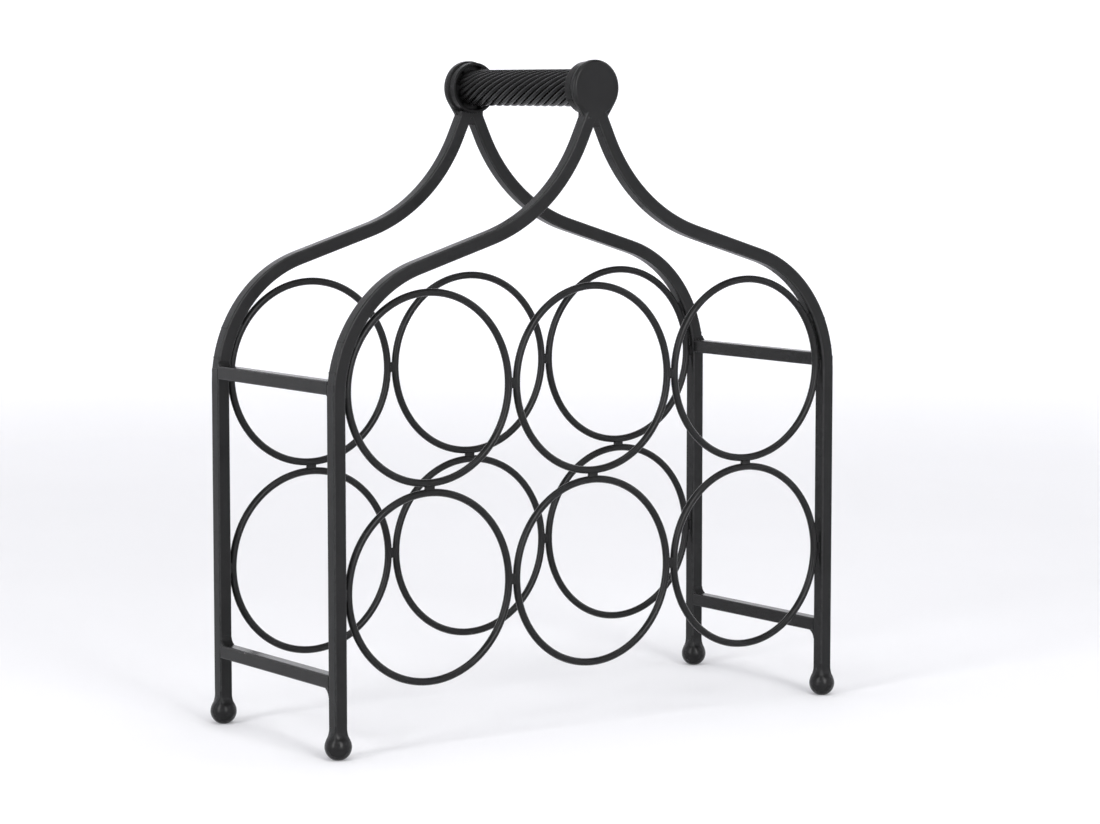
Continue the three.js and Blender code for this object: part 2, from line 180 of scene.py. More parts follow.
# Finishes: greys, sheens and heights of the relief
COAT_BLACKS = (0.0085, 0.0105)
# Grey of the edges: rubbed wear of the coat and a painted highlight line
COAT_EDGE_WEAR_AND_HIGHLIGHT = 0.022
COAT_SCUFFED = 0.13
COAT_SHEEN = 0.18
COAT_PEEL = 0.00002
COAT_WAVE = 0.00006
SCUFF_CELLS = 45
SCUFF_SIZE = (0.036, 0.046)
# Greys of the grooves and the crests; the lighter crests are polish and a painted highlight, the darker
# grooves painted shade
GRIP_BLACKS = (0.006, 0.012)
GRIP_SHEEN = 0.12
GRIP_GRAIN = 0.00002
PAPER_WHITES = (0.85, 0.88)
PAPER_SHEEN = 0.2
PAPER_GRAIN = 0.0001
PAPER_GLOW = 0.36

# Studio: floor and wall, surroundings, and softboxes by azimuth, elevation, distance, size and watts
FLOOR_RADII = (0.4, 1.2)
FLOOR_FLAT = 2.8
FLOOR_SWEEP = 1.2
FLOOR_SWEEP_STEPS = 16
FLOOR_SIDES = 96
WALL_TOP = 3.6
SURROUND = 0.24
SOFTBOXES = {
    "front_softbox": (-6, 20, 2.8, (0.7, 2.0), 42),
    "left_softbox": (-77, 20, 2.8, (0.6, 2.0), 28),
    "overhead_softbox": (-30, 84, 2.4, (1.6, 1.6), 19),
}

# Camera: a long lens at the left front, a little above
CAMERA_AZIMUTH = -34.88
CAMERA_ELEVATION = 5.61
CAMERA_DISTANCE = 1.9072
CAMERA_TARGET = Vector((0.0145, 0, 0.1731))
CAMERA_LENS = 107.29
SENSOR_WIDTH = 36

SHARP_ANGLE = math.radians(40)
FRAMES = (("front", -1), ("rear", 1))
HANDS = (("left", -1), ("right", 1))
COLUMNS = (("left", -1), ("middle", 0), ("right", 1))
ROWS = (("lower", LOWER_RING_Z), ("upper", UPPER_RING_Z))


class Sock:
    """A socket of a node tree: arithmetic on it adds Math nodes, and add() makes any other node."""

    def __init__(self, tree, socket=None):
        self.tree = tree
        self.socket = socket

    def add(self, kind, settings=None, links=None, out=0):
        """A node of that kind: its settings first, then values or links by socket name or place."""
        node = self.tree.nodes.new(kind)
        for name, value in (settings or {}).items():
            setattr(node, name, value)
        for key, value in (links or {}).items():
            if isinstance(value, Sock):
                self.tree.links.new(value.socket, node.inputs[key])
            else:
                node.inputs[key].default_value = value
        return Sock(self.tree, node.outputs[out] if node.outputs else None)

    def math(self, operation, *values):
        """A Math node on these values."""
        return self.add("ShaderNodeMath", {"operation": operation}, dict(enumerate(values)))

    def __add__(self, other):
        return self.math("ADD", self, other)

    __radd__ = __add__

    def __sub__(self, other):
        return self.math("SUBTRACT", self, other)

    def __rsub__(self, other):
        return self.math("SUBTRACT", other, self)

    def __mul__(self, other):
        return self.math("MULTIPLY", self, other)

    __rmul__ = __mul__

    def __truediv__(self, other):
        return self.math("DIVIDE", self, other)

    def __abs__(self):
        return self.math("ABSOLUTE", self)

    def axis(self, name):
        """One of the X, Y and Z parts of a vector."""
        return self.add("ShaderNodeSeparateXYZ", links={"Vector": self}, out=name)

    def ramp(self, start, end):
        """0 below start, 1 above end and a soft step between them."""
        ends = {"Value": self, "From Min": start, "From Max": end}
        return self.add("ShaderNodeMapRange", {"interpolation_type": "SMOOTHSTEP"}, ends, "Result")

    def blend(self, first, second):
        """A colour that goes from the first to the second as this value goes from 0 to 1."""
        sockets = {"Factor": self, 6: first, 7: second}
        return self.add("ShaderNodeMix", {"data_type": "RGBA"}, sockets, 2)

    def noise(self, size, detail):
        """Even noise on this vector, with features of about that size."""
        sockets = {"Vector": self, "Scale": 1 / size, "Detail": detail}
        return self.add("ShaderNodeTexNoise", links=sockets, out="Fac")


def grey(level):
    """A neutral colour."""
    return (level, level, level * 1.02, 1)


def new_material(name):
    """An empty material and its Object coordinates."""
    material = bpy.data.materials.new(name)
    material.use_nodes = True
    material.node_tree.nodes.clear()
    place = Sock(material.node_tree).add("ShaderNodeTexCoord", out="Object")
    return material, place


def surface(place, colour, roughness, height, sheen, glow=None):
    """Principled surface with relief, the height given in metres."""
    sockets = {
        "Base Color": colour,
        "Roughness": roughness,
        "Normal": place.add("ShaderNodeBump", links={"Distance": 1, "Height": height}, out="Normal"),
        "Specular IOR Level": sheen,
    }
    if glow:
        sockets.update({"Emission Color": glow, "Emission Strength": 1})
    shader = place.add("ShaderNodeBsdfPrincipled", links=sockets, out="BSDF")
    place.add("ShaderNodeOutputMaterial", links={"Surface": shader})


def coat_material():
    """Satin black powder coat: orange peel, slight waves of the bent bar, edges lighter as rubbed wear
    and as a painted highlight, a few scuffs.
    """
    material, place = new_material("satin black powder coat")
    cloud = place.noise(0.022, 3)
    grain = place.noise(0.0016, 3)
    peel = place.noise(0.0007, 2)
    wave = place.noise(0.009, 1)
    section = place.add("ShaderNodeAttribute", {"attribute_name": "section"}, out="Vector")
    corner = abs(section.axis("X")) + abs(section.axis("Y"))
    turned = place.add("ShaderNodeAttribute", {"attribute_name": "edge"}, out="Fac")
    # Lighter edges: rubbed wear of the coat, and a painted highlight line along the rounded bar edges
    # and disc rims
    edge = place.math("MAXIMUM", corner.ramp(BAR - 1.2 * BAR_EDGE, BAR - 0.6 * BAR_EDGE), turned)
    edge_wear_and_highlight = edge * (0.6 + 0.4 * grain.ramp(0.4, 0.6))
    cells = {"Vector": place, "Scale": SCUFF_CELLS}
    chip = place.add("ShaderNodeTexVoronoi", links=cells, out="Distance") + SCUFF_SIZE[0] * grain
    scuff = 1 - chip.ramp(*SCUFF_SIZE)
    colour = cloud.ramp(0.3, 0.7).blend(*map(grey, COAT_BLACKS))
    colour = edge_wear_and_highlight.blend(colour, grey(COAT_EDGE_WEAR_AND_HIGHLIGHT))
    colour = scuff.blend(colour, grey(COAT_SCUFFED))
    roughness = 0.2 + 0.05 * cloud + 0.05 * grain - 0.03 * edge_wear_and_highlight
    surface(place, colour, roughness, COAT_PEEL * peel + COAT_WAVE * wave, COAT_SHEEN)
    return material


def grip_material():
    """Matt black moulding with a fine grain, lighter in patches on the crests: a little polish by hands
    and a painted highlight, so the grooves stay darker as painted shade.
    """
    material, place = new_material("matt black moulding")
    cloud = place.noise(0.012, 3)
    grain = place.noise(0.0006, 2)
    crest = place.add("ShaderNodeAttribute", {"attribute_name": "crest"}, out="Fac")
    # Crests lighter than grooves: polish by hands and a painted highlight, with painted shade left in
    # the grooves
    polish_and_highlight = crest.ramp(0.75, 1) * cloud.ramp(0.35, 0.65)
    colour = polish_and_highlight.blend(*map(grey, GRIP_BLACKS))
    roughness = 0.24 + 0.05 * cloud - 0.04 * polish_and_highlight
    surface(place, colour, roughness, GRIP_GRAIN * grain, GRIP_SHEEN)
    return material


def backdrop_material():
    """Plain pale studio paper that glows softly where it rises round the floor."""
    material, place = new_material("pale studio paper")
    tone = place.noise(0.3, 3)
    fibre = place.noise(0.004, 2)
    colour = tone.blend(*map(grey, PAPER_WHITES))
    x = place.axis("X")
    y = place.axis("Y")
    reach = place.math("SQRT", x * x + y * y)
    glow = reach.ramp(0.5, 3.2).blend(grey(0), grey(PAPER_GLOW))
    surface(place, colour, 0.8 + 0.1 * tone, PAPER_GRAIN * fibre, PAPER_SHEEN, glow)
    material.cycles.emission_sampling = "NONE"
    return material


COAT = coat_material()
MOULDING = grip_material()


def new_tree(name, sizes=(), objects=()):
    """An empty geometry tree: its inputs by name, with a number for each size."""
    tree = bpy.data.node_groups.new(name, "GeometryNodeTree")
    kinds = [("Geometry", "NodeSocketGeometry")]
    kinds += [(size, "NodeSocketFloat") for size in sizes]
    kinds += [(item, "NodeSocketObject") for item in objects]
    for label, kind in kinds:
        tree.interface.new_socket(name=label, in_out="INPUT", socket_type=kind)
    tree.interface.new_socket(name="Geometry", in_out="OUTPUT", socket_type="NodeSocketGeometry")
    entry = tree.nodes.new("NodeGroupInput")
    return {socket.name: Sock(tree, socket) for socket in entry.outputs if socket.name}


def close_tree(geometry, material):
    """The end of every tree: instances made real and the finish set."""
    real = geometry.add("GeometryNodeRealizeInstances", links={"Geometry": geometry})
    finished = real.add("GeometryNodeSetMaterial", links={"Geometry": real, "Material": material})
    finished.add("NodeGroupOutput", links={"Geometry": finished})
    return geometry.tree


def store(geometry, name, kind, value):
    """The geometry with a named attribute on its points."""
    settings = {"data_type": kind, "domain": "POINT"}
    sockets = {"Geometry": geometry, "Name": name, "Value": value}
    return geometry.add("GeometryNodeStoreNamedAttribute", settings, sockets)


def at_points(points, shape, **extra):
    """The shape set on every point."""
    sockets = {"Points": points, "Instance": shape, **extra}
    return points.add("GeometryNodeInstanceOnPoints", links=sockets)


def ring_tree():
    """A ring of round wire, standing in the frame's plane on every point of its host."""
    inputs = new_tree("wire ring", ("Ring Radius", "Wire Diameter"))
    start = inputs["Geometry"]
    circle = {"Resolution": 144, "Radius": inputs["Ring Radius"]}
    path = start.add("GeometryNodeCurvePrimitiveCircle", links=circle)
    upright = {"Geometry": path, "Rotation": (math.pi / 2, 0, 0)}
    path = start.add("GeometryNodeTransform", links=upright)
    section = {"Resolution": 20, "Radius": inputs["Wire Diameter"] / 2}
    wire = start.add("GeometryNodeCurvePrimitiveCircle", links=section)
    ring = start.add("GeometryNodeCurveToMesh", links={"Curve": path, "Profile Curve": wire})
    return close_tree(at_points(start, ring), COAT)


def bar_tree():
    """Square bar with rounded edges along its host's line; section keeps a point's place across it."""
    inputs = new_tree("square bar", ("Side", "Edge Radius"))
    start = inputs["Geometry"]
    path = start.add("GeometryNodeMeshToCurve", links={"Mesh": start})
    sides = {"Width": inputs["Side"], "Height": inputs["Side"]}
    square = start.add("GeometryNodeCurvePrimitiveQuadrilateral", links=sides)
    corners = {"Curve": square, "Count": 6, "Radius": inputs["Edge Radius"]}
    profile = start.add("GeometryNodeFilletCurve", {"mode": "POLY"}, corners)
    profile = store(profile, "section", "FLOAT_VECTOR", start.add("GeometryNodeInputPosition"))
    sweep = {"Curve": path, "Profile Curve": profile, "Fill Caps": True}
    return close_tree(start.add("GeometryNodeCurveToMesh", links=sweep), COAT)


def grip_tree():
    """Convex strands side by side round a straight grip, twisted left-handed, on its host's point."""
    inputs = new_tree("twisted grip", ("Length", "Crest Radius", "Strand Depth", "Strands", "Lead"))
    start = inputs["Geometry"]
    half = inputs["Length"] / 2
    foot = start.add("ShaderNodeCombineXYZ", links={"Y": 0 - half})
    head = start.add("ShaderNodeCombineXYZ", links={"Y": half})
    line = start.add("GeometryNodeCurvePrimitiveLine", links={"Start": foot, "End": head})
    line = start.add("GeometryNodeResampleCurve", links={"Curve": line, "Count": 100})
    rim = start.add("GeometryNodeCurvePrimitiveCircle", links={"Resolution": inputs["Strands"] * 16})
    tube = {"Curve": line, "Profile Curve": rim, "Fill Caps": True}
    tube = start.add("GeometryNodeCurveToMesh", links=tube)
    place = start.add("GeometryNodeInputPosition")
    angle = start.math("ARCTAN2", place.axis("Z"), place.axis("X"))
    turns = angle / math.tau + 1
    across = 2 * start.math("FRACT", turns * inputs["Strands"]) - 1
    crown = start.math("SQRT", start.math("MAXIMUM", 1 - across * across, 0))
    radius = inputs["Crest Radius"] - inputs["Strand Depth"] * (1 - crown)
    turned = angle + math.tau * place.axis("Y") / inputs["Lead"]
    parts = {
        "X": radius * start.math("COSINE", turned),
        "Y": place.axis("Y"),
        "Z": radius * start.math("SINE", turned),
    }
    laid = start.add("ShaderNodeCombineXYZ", links=parts)
    tube = store(tube, "crest", "FLOAT", crown)
    grip = start.add("GeometryNodeSetPosition", links={"Geometry": tube, "Position": laid})
    return close_tree(at_points(start, grip), MOULDING)


def weld_tree():
    """A weld bead on every point of its host, turned as the point says."""
    inputs = new_tree("weld beads", objects=("Bead",))
    start = inputs["Geometry"]
    bead = start.add("GeometryNodeObjectInfo", links={"Object": inputs["Bead"]}, out="Geometry")
    named = {"data_type": "FLOAT_VECTOR"}
    turn = start.add("GeometryNodeInputNamedAttribute", named, {"Name": "turn"}, "Attribute")
    return close_tree(at_points(start, bead, Rotation=turn), COAT)


BAR_TREE = bar_tree()
WELD_TREE = weld_tree()


def new_piece(name, mesh):
    """An object at the origin that shows the mesh."""
    piece = bpy.data.objects.new(name, mesh)
    bpy.context.scene.collection.objects.link(piece)
    return piece


def plain(piece):
    """Swaps the piece's mesh for its evaluated one and drops the modifiers."""
    graph = bpy.context.evaluated_depsgraph_get()
    shown = piece.evaluated_get(graph)
    mesh = bpy.data.meshes.new_from_object(shown, preserve_all_data_layers=True, depsgraph=graph)
    piece.modifiers.clear()
    piece.data = mesh
    return piece


def grow(name, tree, sizes, points, joined=False, turns=None):
    """A plain piece grown by a geometry tree from points, joined into a line or each with its turn."""
    mesh = bpy.data.meshes.new(name)
    edges = [(i, i + 1) for i in range(len(points) - 1)] if joined else []
    mesh.from_pydata([tuple(point) for point in points], edges, [])
    if turns:
        attribute = mesh.attributes.new("turn", "FLOAT_VECTOR", "POINT")
        for item, turn in zip(attribute.data, turns):
            item.vector = turn
    piece = new_piece(name, mesh)
    growth = piece.modifiers.new("growth", "NODES")
    growth.node_group = tree
    for socket in tree.interface.items_tree:
        if socket.in_out == "INPUT" and socket.name in sizes:
            growth[socket.identifier] = sizes[socket.name]
    return plain(piece)


def seat(piece, slot, *nodes):
    """Smooth shading that keeps flat faces flat, then the piece takes its nodes' place."""
    piece.data.shade_smooth()
    piece.data.set_sharp_from_angle(angle=SHARP_ANGLE)
    piece.modifiers.new("flat faces", "WEIGHTED_NORMAL").keep_sharp = True
    plain(piece)
    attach(piece, "root")
    if nodes:
        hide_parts(*nodes)


def skin(name, rings, material, ends="capped", edges=None):
    """A piece through equal rings of points: ends capped, joined to each other, or the last one open."""
    sides = len(rings[0])
    shell = bmesh.new()
    edge = shell.verts.layers.float.new("edge")
    loops = []
    for k, ring in enumerate(rings):
        loop = [shell.verts.new(point) for point in ring]
        for vert in loop:
            vert[edge] = edges[k] if edges else 0
        loops.append(loop)
    pairs = list(zip(loops, loops[1:]))
    if ends == "joined":
        pairs.append((loops[-1], loops[0]))
    else:
        shell.faces.new(loops[0])
    if ends == "capped":
        shell.faces.new(loops[-1])
    for here, there in pairs:
        for i in range(sides):
            j = (i + 1) % sides
            shell.faces.new((here[i], here[j], there[j], there[i]))
    bmesh.ops.recalc_face_normals(shell, faces=shell.faces)
    mesh = bpy.data.meshes.new(name)
    shell.to_mesh(mesh)
    shell.free()
    mesh.materials.append(material)
    return new_piece(name, mesh)


def arc(centre, radius, start, end, steps):
    """Points of an arc about a centre in a plane, from one angle to the other."""
    angles = [start + (end - start) * i / steps for i in range(steps + 1)]
    return [(centre[0] + radius * math.cos(a), centre[1] + radius * math.sin(a)) for a in angles]


def bar_line():
    """Middle line of a right-hand bar in its frame's plane: leg, shoulder, run, ogee and neck."""
    upright = math.pi / 2
    shoulder_turn = upright - OGEE_SLOPE
    ogee_turn = NECK_SLOPE - OGEE_SLOPE
    shoulder_steps = round(SHOULDER_RADIUS * shoulder_turn / ARC_STEP)
    shoulder = arc((SHOULDER_X, SHOULDER_Z), SHOULDER_RADIUS, 0, shoulder_turn, shoulder_steps)
    run_start = shoulder[-1]
    ogee_width = OGEE_RADIUS * (math.sin(NECK_SLOPE) - math.sin(OGEE_SLOPE))
    neck_x = NECK_SPREAD / 2 + NECK_LENGTH * math.cos(NECK_SLOPE)
    run_width = run_start[0] - ogee_width - neck_x
    run_end_z = run_start[1] + run_width * math.tan(OGEE_SLOPE)
    centre_x = neck_x + OGEE_RADIUS * math.sin(NECK_SLOPE)
    centre_z = run_end_z + OGEE_RADIUS * math.cos(OGEE_SLOPE)
    ogee_steps = round(OGEE_RADIUS * ogee_turn / ARC_STEP)
    ends = (-upright - OGEE_SLOPE, -upright - NECK_SLOPE)
    ogee = arc((centre_x, centre_z), OGEE_RADIUS, *ends, ogee_steps)
    top = (NECK_SPREAD / 2, ogee[-1][1] + NECK_LENGTH * math.sin(NECK_SLOPE))
    return [(LEG_X, FOOT_TOP), *shoulder, *ogee, top]


def lay_bar(node, points):
    """A square bar along the points, in its node's place."""
    sizes = {"Side": BAR, "Edge Radius": BAR_EDGE}
    seat(grow(f"{node}_coated", BAR_TREE, sizes, points, joined=True), "black_coat", node)


def make_bars():
    """Four bent bars, two to a frame."""
    line = bar_line()
    for frame_label, depth in FRAMES:
        for hand_label, hand in HANDS:
            points = [(hand * x, depth * FRAME_Y, z) for x, z in line]
            lay_bar(f"{frame_label}_{hand_label}_bar", points)


def make_crossbars():
    """Four straight bars between the frames, run up to the legs."""
    reach = FRAME_Y - HALF_BAR
    for level in CROSSBAR_FILLETS:
        for hand_label, _ in HANDS:
            node = f"{level}_{hand_label}_crossbar"
            x, _, z = middle(node)
            lay_bar(node, [(x, -reach, z), (x, reach, z)])


def make_rings():
    """Twelve wire rings."""
    tree = ring_tree()
    sizes = {"Ring Radius": RING_RADIUS, "Wire Diameter": WIRE}
    for frame_label, depth in FRAMES:
        for row_label, z in ROWS:
            for column_label, column in COLUMNS:
                node = f"{frame_label}_{row_label}_{column_label}_ring"
                centre = (column * RING_PITCH, depth * FRAME_Y, z)
                seat(grow(f"{node}_coated", tree, sizes, [centre]), "black_coat", node)


def square_reach(angle, half, edge):
    """Distance from the middle of a rounded square to its outline."""
    c = abs(math.cos(angle))
    s = abs(math.sin(angle))
    inset = half - edge
    flat = half / max(c, s)
    if flat * min(c, s) <= inset:
        return flat
    along = inset * (c + s)
    return along + math.sqrt(along**2 - 2 * inset**2 + edge**2)


def make_feet():
    """Four ball feet that flare out of the square legs."""
    ball_z = math.sqrt(BALL_RADIUS**2 - FOOT_FLAT_RADIUS**2)
    fillet_x = HALF_BAR + FOOT_FILLET
    fillet_z = ball_z + math.sqrt((BALL_RADIUS + FOOT_FILLET) ** 2 - fillet_x**2)
    sole = -math.acos(FOOT_FLAT_RADIUS / BALL_RADIUS)
    meet = math.atan2(fillet_z - ball_z, fillet_x)
    ball = arc((0, ball_z), BALL_RADIUS, sole, meet, BALL_STEPS)
    fillet = arc((fillet_x, fillet_z), FOOT_FILLET, meet - math.pi, -math.pi, FOOT_FILLET_STEPS)[1:]
    profile = ball + fillet + [(HALF_BAR, FOOT_TOP)]
    start = ball[-SQUARING_STEPS][1]
    rings = []
    for radius, z in profile:
        part = min(max((z - start) / (fillet_z - start), 0), 1)
        squareness = part * part * (3 - 2 * part)
        ring = []
        for i in range(FOOT_SIDES):
            angle = math.tau * i / FOOT_SIDES
            square = square_reach(angle, radius, min(BAR_EDGE, radius))
            reach = radius + (square - radius) * squareness
            ring.append(Vector((reach * math.cos(angle), reach * math.sin(angle), z)))
        rings.append(ring)
    for frame_label, depth in FRAMES:
        for hand_label, hand in HANDS:
            node = f"{frame_label}_{hand_label}_foot"
            place = Vector((hand * LEG_X, depth * FRAME_Y, 0))
            placed = [[point + place for point in ring] for ring in rings]
            seat(skin(f"{node}_coated", placed, COAT), "black_coat", node)


def turned_ring(radius, y, sides=TURNED_SIDES):
    """A ring of points about the handle's axis."""
    angles = [math.tau * i / sides for i in range(sides)]
    return [Vector((radius * math.cos(a), y, HANDLE_Z + radius * math.sin(a))) for a in angles]


def faced(rings, depth):
    """Rings of a rear piece, turned about to the front where depth is below zero."""
    return [[Vector((p.x * depth, p.y * depth, p.z)) for p in ring] for ring in rings]


def make_discs():
    """Two plain end discs with a broad rounded edge, part of which takes the lighter edge grey: rubbed
    wear and a painted highlight.
    """
    centre = (DISC_RADIUS - DISC_EDGE, FRAME_FACE - DISC_EDGE)
    profile = [(DISC_RADIUS, DISC_BACK), *arc(centre, DISC_EDGE, 0, math.pi / 2, DISC_EDGE_STEPS)]
    # Rim steps marked for the lighter edge grey: rubbed wear and a painted highlight
    edges = [DISC_RIM_WEAR_AND_HIGHLIGHT if k in DISC_WORN_AND_HIGHLIT_STEPS else 0 for k in range(len(profile))]
    rings = [turned_ring(radius, y) for radius, y in profile]
    for frame_label, depth in FRAMES:
        node = f"{frame_label}_end_disc"
        seat(skin(f"{node}_coated", faced(rings, depth), COAT, edges=edges), "black_coat", node)


def rib_depth(angle, radius):
    """Depth of the recess below the rim: shallow over a rib, the full depth between ribs."""
    pitch = math.tau / RIB_COUNT
    turn = (angle + pitch / 2) % pitch - pitch / 2
    past = radius * abs(math.sin(turn)) - RIB_WIDTH / 2
    part = min(max(past / RIB_FLANK + 0.5, 0), 1)
    return RIB_SETBACK + (CUP_RECESS - RIB_SETBACK) * part * part * (3 - 2 * part)


def cup_rings(grooved):
    """Rings of a rear collar, grooved before its disc or flared to it, with ribs in its recess."""
    sides = 3 * TURNED_SIDES
    quarter = math.pi / 2
    recess = CUP_RADIUS - CUP_WALL
    rim_start = CUP_END + CUP_RIM
    hub = GRIP_RADIUS + GRIP_CLEARANCE
    floor = CUP_END + CUP_RECESS
    inner_edge = recess + CUP_EDGE
    outer_edge = CUP_RADIUS - CUP_EDGE
    ribs = [(hub + (recess - hub) * i / RIB_STEPS, floor) for i in range(1, RIB_STEPS + 1)]
    wall = [(recess, floor - CUP_RECESS * i / CUP_WALL_STEPS) for i in range(1, CUP_WALL_STEPS - 1)]
    profile = [(ROD_RADIUS, floor), (hub, floor), *ribs, *wall]
    profile += arc((inner_edge, CUP_END + CUP_EDGE), CUP_EDGE, -math.pi, -quarter, CUP_EDGE_STEPS)
    profile += arc((outer_edge, CUP_END + CUP_EDGE), CUP_EDGE, -quarter, 0, CUP_EDGE_STEPS)
    if grooved:
        groove = CUP_RADIUS - CUP_GROOVE
        profile += arc((outer_edge, rim_start - CUP_EDGE), CUP_EDGE, 0, quarter, CUP_EDGE_STEPS)
        profile += [(groove, rim_start), (groove, CUP_START)]
    else:
        flare = DISC_RADIUS - CUP_RADIUS
        profile += arc((DISC_RADIUS, CUP_START - 2 * flare), flare, math.pi, quarter, CUP_EDGE_STEPS)
        profile += [(DISC_RADIUS, CUP_START)]
    profile += [(ROD_RADIUS, CUP_START)]
    rings = [turned_ring(radius, y, sides) for radius, y in profile]
    for k in range(2, 2 + len(ribs) + len(wall)):
        radius, y = profile[k]
        depth = y - CUP_END
        for i, point in enumerate(rings[k]):
            shallow = rib_depth(math.tau * i / sides, radius)
            point.y = CUP_END + min(depth, shallow + RIB_FALL * depth)
    return rings


def make_cups():
    """Two collars, the front one with a gap before its disc and the rear one close to it."""
    for frame_label, depth in FRAMES:
        node = f"{frame_label}_grip_cup"
        rings = faced(cup_rings(depth < 0), depth)
        seat(skin(f"{node}_moulded", rings, MOULDING, ends="joined"), "grip_black", node)


def make_handle():
    """The twisted grip and the rod inside it."""
    sizes = {
        "Length": GRIP_LENGTH,
        "Crest Radius": GRIP_RADIUS,
        "Strand Depth": STRAND_DEPTH,
        "Strands": STRAND_COUNT,
        "Lead": TWIST_LEAD,
    }
    grip = grow("handle_grip_moulded", grip_tree(), sizes, [(0, 0, HANDLE_Z)])
    seat(grip, "grip_black", "handle_grip")
    rod = [turned_ring(ROD_RADIUS, y) for y in (-CUP_START, CUP_START)]
    seat(skin("handle_core_rod_coated", rod, COAT), "black_coat", "handle_core_rod")


def block(size, centre, turn=Matrix()):
    """A box for a weld: how it is made and where it lies."""
    matrix = Matrix.Translation(centre) @ turn @ Matrix.Diagonal((*size, 1))
    return bmesh.ops.create_cube, {"size": 1, "matrix": matrix}


def upright_rod(radius, length, centre):
    """A round rod along Z for a weld."""
    matrix = Matrix.Translation(centre)
    sizes = {"radius1": radius, "radius2": radius, "depth": length}
    return bmesh.ops.create_cone, {"cap_ends": True, "segments": 40, "matrix": matrix, **sizes}


def lump(radius, centre):
    """A ball of weld metal."""
    matrix = Matrix.Translation(centre)
    return bmesh.ops.create_icosphere, {"subdivisions": 3, "radius": radius, "matrix": matrix}


def melted(name, solids, grain, rounds):
    """The solids melted into one skin whose inner corners are filled."""
    heap = bmesh.new()
    for make, sizes in solids:
        make(heap, **sizes)
    mesh = bpy.data.meshes.new(name)
    heap.to_mesh(mesh)
    heap.free()
    mesh.materials.append(COAT)
    piece = new_piece(name, mesh)
    remesh = piece.modifiers.new("skin", "REMESH")
    remesh.mode = "VOXEL"
    remesh.voxel_size = grain
    flow = piece.modifiers.new("flow", "SMOOTH")
    flow.iterations = rounds
    return plain(piece)


def ring_to_ring_bead():
    """Weld between two wires that run along Z at either side of the origin."""
    wire = WIRE / 2 - WELD_DEPTH
    offset = RING_GAP / 2 + WIRE / 2
    solids = [upright_rod(wire, RING_WELD_REACH, (side * offset, 0, 0)) for side in (-1, 1)]
    solids.append(block((WIRE, RING_TO_RING_WELD_WIDTH, RING_WELD_LENGTH), (0, 0, 0)))
    return melted("ring_to_ring_bead", solids, WELD_GRAIN, WELD_ROUNDS)


def ring_to_bar_bead(gap):
    """Weld between a wire along Z and the face of a bar on its +X side."""
    bar = BAR - 2 * WELD_DEPTH
    wire = WIRE / 2 - WELD_DEPTH
    solids = [
        upright_rod(wire, RING_WELD_REACH, (-gap / 2 - WIRE / 2, 0, 0)),
        block((bar, bar, RING_WELD_REACH), (gap / 2 + HALF_BAR, 0, 0)),
        block((WIRE + gap / 2, RING_TO_BAR_WELD_WIDTH, RING_WELD_LENGTH), (0, 0, 0)),
    ]
    return melted("ring_to_bar_bead", solids, WELD_GRAIN, WELD_ROUNDS)


def crossbar_bead(name, fillet, side):
    """Weld of a crossbar to a leg on its +Y side, with a fillet above (1) or below (-1) it."""
    bar = BAR - 2 * WELD_DEPTH
    inside = BAR - 2 * BAR_EDGE
    solids = [
        block((inside, bar, CROSSBAR_WELD_HEIGHT), (0, HALF_BAR, 0)),
        block((bar, CROSSBAR_WELD_REACH, bar), (0, -CROSSBAR_WELD_REACH / 2, 0)),
        block((BAR - CROSSBAR_COLLAR_INSET, CROSSBAR_COLLAR, inside), (0, 0, 0)),
    ]
    # Steps of the fillet follow a hollow quarter round
    rise = fillet / CROSSBAR_FILLET_STEPS
    for k in range(CROSSBAR_FILLET_STEPS):
        past = fillet - (k + 0.5) * rise
        reach = fillet - math.sqrt(fillet**2 - past**2) + 2 * WELD_DEPTH
        z = side * (HALF_BAR + k * rise)
        solids.append(block((bar, reach, 2 * rise), (0, WELD_DEPTH - reach / 2, z)))
    return melted(name, solids, COARSE_GRAIN, WELD_ROUNDS // 2)


def neck_bead():
    """Weld under a rear disc, where two bars meet and run into it; its origin is the frame's middle."""
    bar = BAR - 2 * WELD_DEPTH
    neck_top = HANDLE_Z - DISC_RADIUS
    solids = [block(size, (x, y, neck_top + z)) for size, (x, y, z) in NECK_BLOCKS]
    # Each side runs straight from the disc's edge to the narrowest place of the neck
    for hand in (-1, 1):
        lean = Matrix.Rotation(hand * (NECK_SLOPE - math.pi / 2), 4, "Y")
        foot = Vector((hand * NECK_SPREAD / 2, 0, neck_top))
        along = Vector((hand * math.cos(NECK_SLOPE), 0, -math.sin(NECK_SLOPE)))
        solids.append(block((bar, bar, NECK_WELD_REACH), foot + NECK_WELD_REACH / 2 * along, lean))
        flank = Matrix.Rotation(hand * NECK_FLANK_LEAN, 4, "Y")
        x, y, z = NECK_FLANK_PLACE
        solids.append(block(NECK_FLANK, (hand * x, y, neck_top + z), flank))
    solids += [lump(radius, (x, y, neck_top + z)) for radius, (x, y, z) in NECK_LUMPS]
    return melted("neck_bead", solids, WELD_GRAIN, WELD_ROUNDS)


def lay_beads(name, bead, places):
    """One piece of weld beads, each at its place with its turn, and the single bead put away."""
    points = [place for place, _ in places]
    turns = [turn for _, turn in places]
    seat(grow(name, WELD_TREE, {"Bead": bead}, points, turns=turns), "black_coat")
    bpy.data.objects.remove(bead)


def facing(side):
    """Turn about Z that brings a bead made for the + side to that side."""
    return 0 if side > 0 else math.pi


def shoulder_gap(angle):
    """Room between an outer upper ring and the shoulder, measured outwards from the ring at an angle."""
    along = SHOULDER_OFFSET * math.cos(angle - SHOULDER_NEAREST_ANGLE)
    across = SHOULDER_OFFSET * math.sin(angle - SHOULDER_NEAREST_ANGLE)
    return math.sqrt((SHOULDER_RADIUS - HALF_BAR) ** 2 - across**2) - along - RING_OUTER


